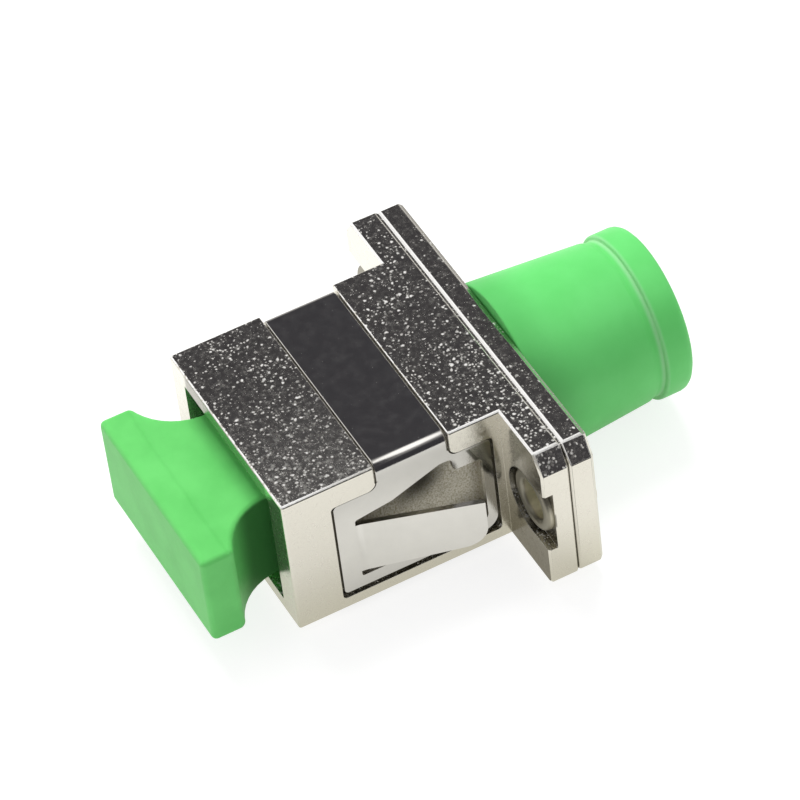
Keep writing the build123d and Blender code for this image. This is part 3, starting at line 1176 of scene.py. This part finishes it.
@dataclass
class Clip:
    """The bent spring clip with its lanced tongues."""

    finishes: Finishes
    edge_mm: float = 0.06
    edge_degrees: float = 38.0
    strip_mm: Span = (-7.25, -3.05)
    strip_edge_mm: float = 0.1
    side_mm: float = 6.5
    top_mm: float = 4.6
    bend_mm: float = 0.7
    skin_mm: float = 0.02

    def on_strip(self, edge: Edge) -> bool:
        """Whether an edge borders the strip on the sheet's outside."""
        return runs_across(edge, self.strip_mm) and all(self.on_skin(v) for v in edge.verts)

    def on_skin(self, vertex: bmesh.types.BMVert) -> bool:
        """Whether a vertex is on the sheet's outside.

        Args:
            vertex: A vertex of the clip.

        Returns:
            True on the outside.
        """
        across, height = abs(vertex.co.x / MM), vertex.co.z / MM
        core_x, core_z = self.side_mm - self.bend_mm, self.top_mm - self.bend_mm
        if across > core_x and height > core_z:
            return math.hypot(across - core_x, height - core_z) > self.bend_mm - self.skin_mm
        return across > self.side_mm - self.skin_mm or height > self.top_mm - self.skin_mm

    def build(self) -> None:
        """Makes the clip with its sheared edges broken."""
        piece = node_copy("spring_clip", "bent_spring_clip")
        round_edges(piece, self.on_strip, self.strip_edge_mm)
        soften_edges(piece, self.edge_mm, self.edge_degrees)
        shade(piece, self.edge_degrees)
        dress(piece, self.finishes.sheet)
        seat(piece, Body.ADAPTER, Slot.SPRING, "spring_clip")


@dataclass
class Eyelets:
    """The two tubular eyelets that hold the plates together."""

    finishes: Finishes
    pitch_mm: float = 18.0
    bore_mm: float = 1.15
    tube_mm: float = 1.45
    head_mm: float = 1.8
    front_mm: Span = (0.2, 0.55)
    rear_mm: Span = (3.15, 3.32)
    rolled_mm: float = 1.55
    crown_mm: float = 0.2
    rolled_crown_mm: float = 0.1
    lead_mm: float = 0.22
    steps: int = 64

    def build(self) -> None:
        """Turns one eyelet and copies it to the other hole."""
        outline = [
            Ring(self.bore_mm, self.front_mm[0], self.lead_mm),
            Ring(self.head_mm, self.front_mm[0], self.crown_mm),
            Ring(self.head_mm, self.front_mm[1]),
            Ring(self.tube_mm, self.front_mm[1]),
            Ring(self.tube_mm, self.rear_mm[0]),
            Ring(self.rolled_mm, self.rear_mm[0]),
            Ring(self.rolled_mm, self.rear_mm[1], self.rolled_crown_mm),
            Ring(self.bore_mm, self.rear_mm[1], self.rolled_crown_mm),
        ]
        right = turn("turned_eyelet_right", outline, self.steps, self.pitch_mm / 2)
        dress(right, self.finishes.eyelet)
        left = twin(right, "turned_eyelet_left", (-self.pitch_mm * MM, 0.0, 0.0))
        seat(right, Body.ADAPTER, Slot.EYELET, "eyelet_right")
        seat(left, Body.ADAPTER, Slot.EYELET, "eyelet_left")


@dataclass
class DustCap:
    """The soft green cap over the threaded socket."""

    finishes: Finishes
    rim_y_mm: float = 3.2
    length_mm: float = 9.35
    rim_mm: float = 5.2
    neck_mm: float = 4.65
    bed_mm: float = 4.53
    collar_mm: float = 4.8
    collar_length_mm: float = 1.7
    groove_mm: float = 0.55
    bore_mm: float = 4.05
    end_wall_mm: float = 0.9
    end_round_mm: float = 0.5
    bore_round_mm: float = 0.3
    edge_mm: float = 0.12
    lip_round_mm: float = 0.1
    bed_round_mm: Span = (0.08, 0.06)
    slope_mm: float = 0.12
    under_collar_mm: float = 0.02
    steps: int = 160

    def build(self) -> None:
        """Turns the cap with its groove and soft edges."""
        end = self.rim_y_mm + self.length_mm
        collar = end - self.collar_length_mm
        groove = collar - self.groove_mm
        outline = [
            Ring(0.0, end - self.end_wall_mm),
            Ring(self.bore_mm, end - self.end_wall_mm, self.bore_round_mm),
            Ring(self.bore_mm, self.rim_y_mm, self.edge_mm),
            Ring(self.rim_mm, self.rim_y_mm, self.edge_mm),
            Ring(self.neck_mm, groove - self.slope_mm, self.lip_round_mm),
            Ring(self.bed_mm, groove + self.slope_mm, self.bed_round_mm[0]),
            Ring(self.bed_mm, collar - self.under_collar_mm, self.bed_round_mm[1]),
            Ring(self.collar_mm, collar, self.edge_mm),
            Ring(self.collar_mm, end, self.end_round_mm),
            Ring(0.0, end),
        ]
        piece = turn("soft_dust_cap", outline, self.steps)
        dress(piece, self.finishes.green)
        seat(piece, Body.CAP, Slot.GREEN, "fc_dust_cap")


@dataclass
class DustPlug:
    """The soft green plug in the square socket: grip plate, scooped sides and hollow nose."""

    finishes: Finishes
    face_y_mm: float = -17.35
    plate_mm: float = 1.9
    neck_end_y_mm: float = -9.0
    half_width_mm: float = 6.15
    half_neck_mm: float = 3.6
    scoop_mm: float = 3.4
    scoop_steps: int = 9
    top_mm: float = 2.705
    height_mm: float = 5.95
    edge_mm: float = 0.32
    edge_degrees: float = 40.0
    edge_flats: int = 5
    smooth_degrees: float = 34.0
    nose_start_y_mm: float = -9.2
    nose_end_y_mm: float = -3.4
    nose_mm: float = 2.8
    nose_bore_mm: float = 2.3
    bore_start_y_mm: float = -9.6
    bore_end_y_mm: float = -2.4
    rod_steps: int = 64

    def lifted(self, corners: Sequence[Span]) -> list[Place]:
        """Corners of the grip's plan at its underside, in metres."""
        return [(x * MM, y * MM, (self.top_mm - self.height_mm) * MM) for x, y in corners]

    def grip(self) -> Piece:
        """Draws half the grip's plan, lifts it to its height and mirrors it.

        Returns:
            The grip with sharp edges.
        """
        scoop_x = self.half_neck_mm + self.scoop_mm
        plate_rear = self.face_y_mm + self.plate_mm
        drop = scoop_x - self.half_width_mm
        scoop_y = plate_rear + math.sqrt(self.scoop_mm**2 - drop**2)
        start = math.atan2(plate_rear - scoop_y, self.half_width_mm - scoop_x)
        front = self.lifted([
            (0.0, self.neck_end_y_mm),
            (0.0, self.face_y_mm),
            (self.half_width_mm, self.face_y_mm),
            (self.half_width_mm, plate_rear),
        ])
        piece = lone_vertex("soft_dust_plug", front[0])
        draw_line(front)
        bpy.ops.mesh.spin(
            steps=self.scoop_steps,
            angle=math.pi + start,
            center=self.lifted([(scoop_x, scoop_y)])[0],
            axis=Axis.Z.value,
        )
        draw_line(self.lifted([
            (self.half_neck_mm, scoop_y),
            (self.half_neck_mm, self.neck_end_y_mm),
            (0.0, self.neck_end_y_mm),
        ]))
        merge_doubles(PLAN_WELD)
        select_all()
        bpy.ops.mesh.edge_face_add()
        lift = (0, 0, self.height_mm * MM)
        bpy.ops.mesh.extrude_region_move(TRANSFORM_OT_translate={"value": lift})
        pick(piece, "FACE", lambda face: abs(face.calc_center_median().x) < FINE_WELD)
        bpy.ops.mesh.delete(type="FACE")
        leave_edit()
        apply_modifier(piece, "MIRROR", use_clip=True, merge_threshold=PLAN_WELD)
        return piece

    def rod(self, radius: float, start: float, end: float) -> Piece:
        """A closed rod along the axis, used to add or take away.

        Args:
            radius: Its radius in millimetres.
            start: Its front end in millimetres.
            end: Its rear end in millimetres.

        Returns:
            The rod.
        """
        deselect_all()
        bpy.ops.mesh.primitive_cylinder_add(
            vertices=self.rod_steps,
            radius=radius * MM,
            depth=(end - start) * MM,
            location=(0, (start + end) / 2 * MM, 0),
            rotation=(math.pi / 2, 0, 0),
        )
        tool = bpy.context.active_object
        bpy.ops.object.transform_apply(location=True, rotation=True, scale=True)
        return tool

    def build(self) -> None:
        """Makes the plug."""
        piece = self.grip()
        edit(piece)
        weld_and_face_out()
        soften_edges(piece, self.edge_mm, self.edge_degrees, segments=self.edge_flats)
        nose = self.rod(self.nose_mm, self.nose_start_y_mm, self.nose_end_y_mm)
        combine(piece, nose, "UNION")
        bore = self.rod(self.nose_bore_mm, self.bore_start_y_mm, self.bore_end_y_mm)
        combine(piece, bore, "DIFFERENCE")
        edit(piece)
        weld_and_face_out()
        shade(piece, self.smooth_degrees)
        dress(piece, self.finishes.plug)
        seat(piece, Body.PLUG, Slot.GREEN, "sc_dust_plug")


@dataclass
class Inside:
    """The pieces that show only with the dust covers off."""

    finishes: Finishes

    def build(self) -> None:
        """Dresses the inner nodes where they are."""
        kinds = {
            "sc_latch_insert": self.finishes.insert,
            "fc_sleeve_holder": self.finishes.holder,
            "alignment_sleeve": self.finishes.ceramic,
        }
        for node, finish in kinds.items():
            dress(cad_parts[node], finish)
            log.info("%s: dressed", node)


# The bench


@dataclass
class Bench:
    """Floor, lights and camera."""

    floor_mm: float = -5.22
    floor_radius_mm: float = 50.0
    floor_steps: int = 96
    floor_colour: Colour = (0.86, 0.86, 0.86)
    floor_watched: Colour = (0.36, 0.36, 0.36)
    floor_glow: Colour = (0.8, 0.8, 0.8)
    near_floor: Colour = (0.62, 0.61, 0.565)
    far_floor: Colour = (0.85, 0.84, 0.81)
    far_floor_mm: Span = (-9.0, -15.0)
    azimuth: float = 67.6265
    elevation: float = 45.5181
    roll: float = -7.6310
    distance_mm: float = 283.137
    focal_px: float = 5346.85
    image_px: float = 800.0
    sensor_mm: float = 36.0
    target_mm: Place = (-0.3417, -2.5226, 0.9364)
    dark_side: Place = (-0.648, 0.267, 0.7135)
    near_side: Place = (0.963, 0.267, 0.0)
    viewer: Place = (0.648, -0.267, 0.7135)
    soft_box: Place = (0.262, 0.267, 0.928)
    white_wall: Place = (-0.62, -0.73, 0.28)
    room_colour: Colour = (0.42, 0.41, 0.40)
    wall_colour: Colour = (1.0, 0.98, 0.94)
    box_colour: Colour = (1.4, 1.38, 1.35)
    dark_colour: Colour = (0.048, 0.046, 0.052)
    fill: float = 0.66
    near_fill: float = 0.5
    key_way: Place = (-0.5, 0.12, 0.8)
    key_distance: float = 0.55
    key_size: float = 0.3
    key_watts: float = 2.3

    def lay_floor(self) -> None:
        """A pale floor that is white to the camera and keeps a shadow."""
        deselect_all()
        bpy.ops.mesh.primitive_circle_add(
            vertices=self.floor_steps,
            radius=self.floor_radius_mm * MM,
            fill_type="NGON",
            location=(0, 0, self.floor_mm * MM),
        )
        floor = bpy.context.active_object
        floor.name = "floor"
        material = bpy.data.materials.new("Pale floor")
        tree = Coat(material)
        camera = tree.node("LightPath", output="Is Camera Ray")
        watched = camera.highest(tree.node("LightPath", output="Is Glossy Ray"))
        # Seen in reflections, the floor glows with painted shade near the adapter and paler far
        # off.
        far = tree.x.ramp(*self.far_floor_mm)
        mirrored = tree.mix(far, self.near_floor, self.far_floor)
        shown = tree.mix(camera, mirrored, self.floor_glow)
        tree.surface(
            Base_Color=tree.mix(watched, self.floor_colour, self.floor_watched),
            Roughness=1.0,
            Specular_IOR_Level=0.0,
            Emission_Color=tree.mix(watched, (0.0, 0.0, 0.0), shown),
            Emission_Strength=1.0,
        )
        floor.data.materials.append(material)

    def light_world(self) -> None:
        """White to the camera, plain light, and dark and bright walls for reflections alone."""
        world = bpy.data.worlds.new("Studio")
        bpy.context.scene.world = world
        tree = Shader(world)
        camera = tree.node("LightPath", output="Is Camera Ray")
        glossy = tree.node("LightPath", output="Is Glossy Ray")
        way = tree.node("TexCoord", output="Generated")
        near_side = tree.towards(way, self.near_side)
        far = tree.towards(way, self.dark_side).ramp(0.74, 0.88)
        near = near_side.ramp(0.3, 0.6) * tree.part(way, 2).ramp(0.82, 0.5)
        lens = tree.towards(way, self.viewer).ramp(0.86, 0.94)
        wall = tree.towards(way, self.white_wall).ramp(0.6, 0.85)
        box = tree.towards(way, self.soft_box).ramp(0.93, 0.98)
        pale = tree.mix(wall, self.room_colour, self.wall_colour)
        bright = tree.mix(box, pale, self.box_colour)
        seen = tree.mix(far.highest(near).highest(lens), bright, self.dark_colour)
        plain = tree.mix(near_side.ramp(-0.3, 0.7), (self.fill,) * 3, (self.near_fill,) * 3)
        colour = tree.mix(camera, tree.mix(glossy, plain, seen), (1.0, 1.0, 1.0))
        back = tree.node("Background", None, {"Color": colour, "Strength": 1.0})
        tree.node("OutputWorld", None, {"Surface": back})

    def hang_key(self) -> None:
        """Hangs the soft box, which faces the adapter."""
        data = bpy.data.lights.new("key", "AREA")
        data.shape = "RECTANGLE"
        data.size = data.size_y = self.key_size
        data.energy = self.key_watts
        lamp = bpy.data.objects.new("key", data)
        bpy.context.scene.collection.objects.link(lamp)
        way = Vector(self.key_way).normalized()
        lamp.location = way * self.key_distance
        lamp.rotation_euler = (-way).to_track_quat("-Z", "Y").to_euler()
        lamp.visible_glossy = False

    def set_camera(self) -> None:
        """Stands the camera where the photograph was taken."""
        turn_z, lift, lean = (math.radians(a) for a in (self.azimuth, self.elevation, self.roll))
        back = Vector((
            math.sin(turn_z) * math.cos(lift),
            -math.cos(turn_z) * math.cos(lift),
            math.sin(lift),
        ))
        right = (-back).cross(Vector(Axis.Z.value)).normalized()
        up = right.cross(-back)
        leaning_right = right * math.cos(lean) + up * math.sin(lean)
        leaning_up = up * math.cos(lean) - right * math.sin(lean)
        data = bpy.data.cameras.new("camera")
        data.sensor_width = self.sensor_mm
        data.lens = self.focal_px * self.sensor_mm / self.image_px
        data.clip_start = 0.01
        data.clip_end = 10.0
        camera = bpy.data.objects.new("camera", data)
        bpy.context.scene.collection.objects.link(camera)
        place = Vector(self.target_mm) * MM + back * self.distance_mm * MM
        turned = Matrix((leaning_right, leaning_up, back)).transposed().to_4x4()
        camera.matrix_world = Matrix.Translation(place) @ turned
        bpy.context.scene.camera = camera

    def build(self) -> None:
        """Sets the whole bench up."""
        bpy.context.scene.view_settings.view_transform = "Standard"
        self.set_camera()
        self.lay_floor()
        self.light_world()
        self.hang_key()


def main() -> None:
    """Builds the adapter's pieces and the bench."""
    logging.basicConfig(level=logging.INFO, format="%(message)s")
    finishes = Finishes()
    for kind in (Castings, Clip, Eyelets, DustPlug, DustCap, Inside):
        kind(finishes).build()
    Bench().build()
    deselect_all()


if __name__ == "__main__":
    main()
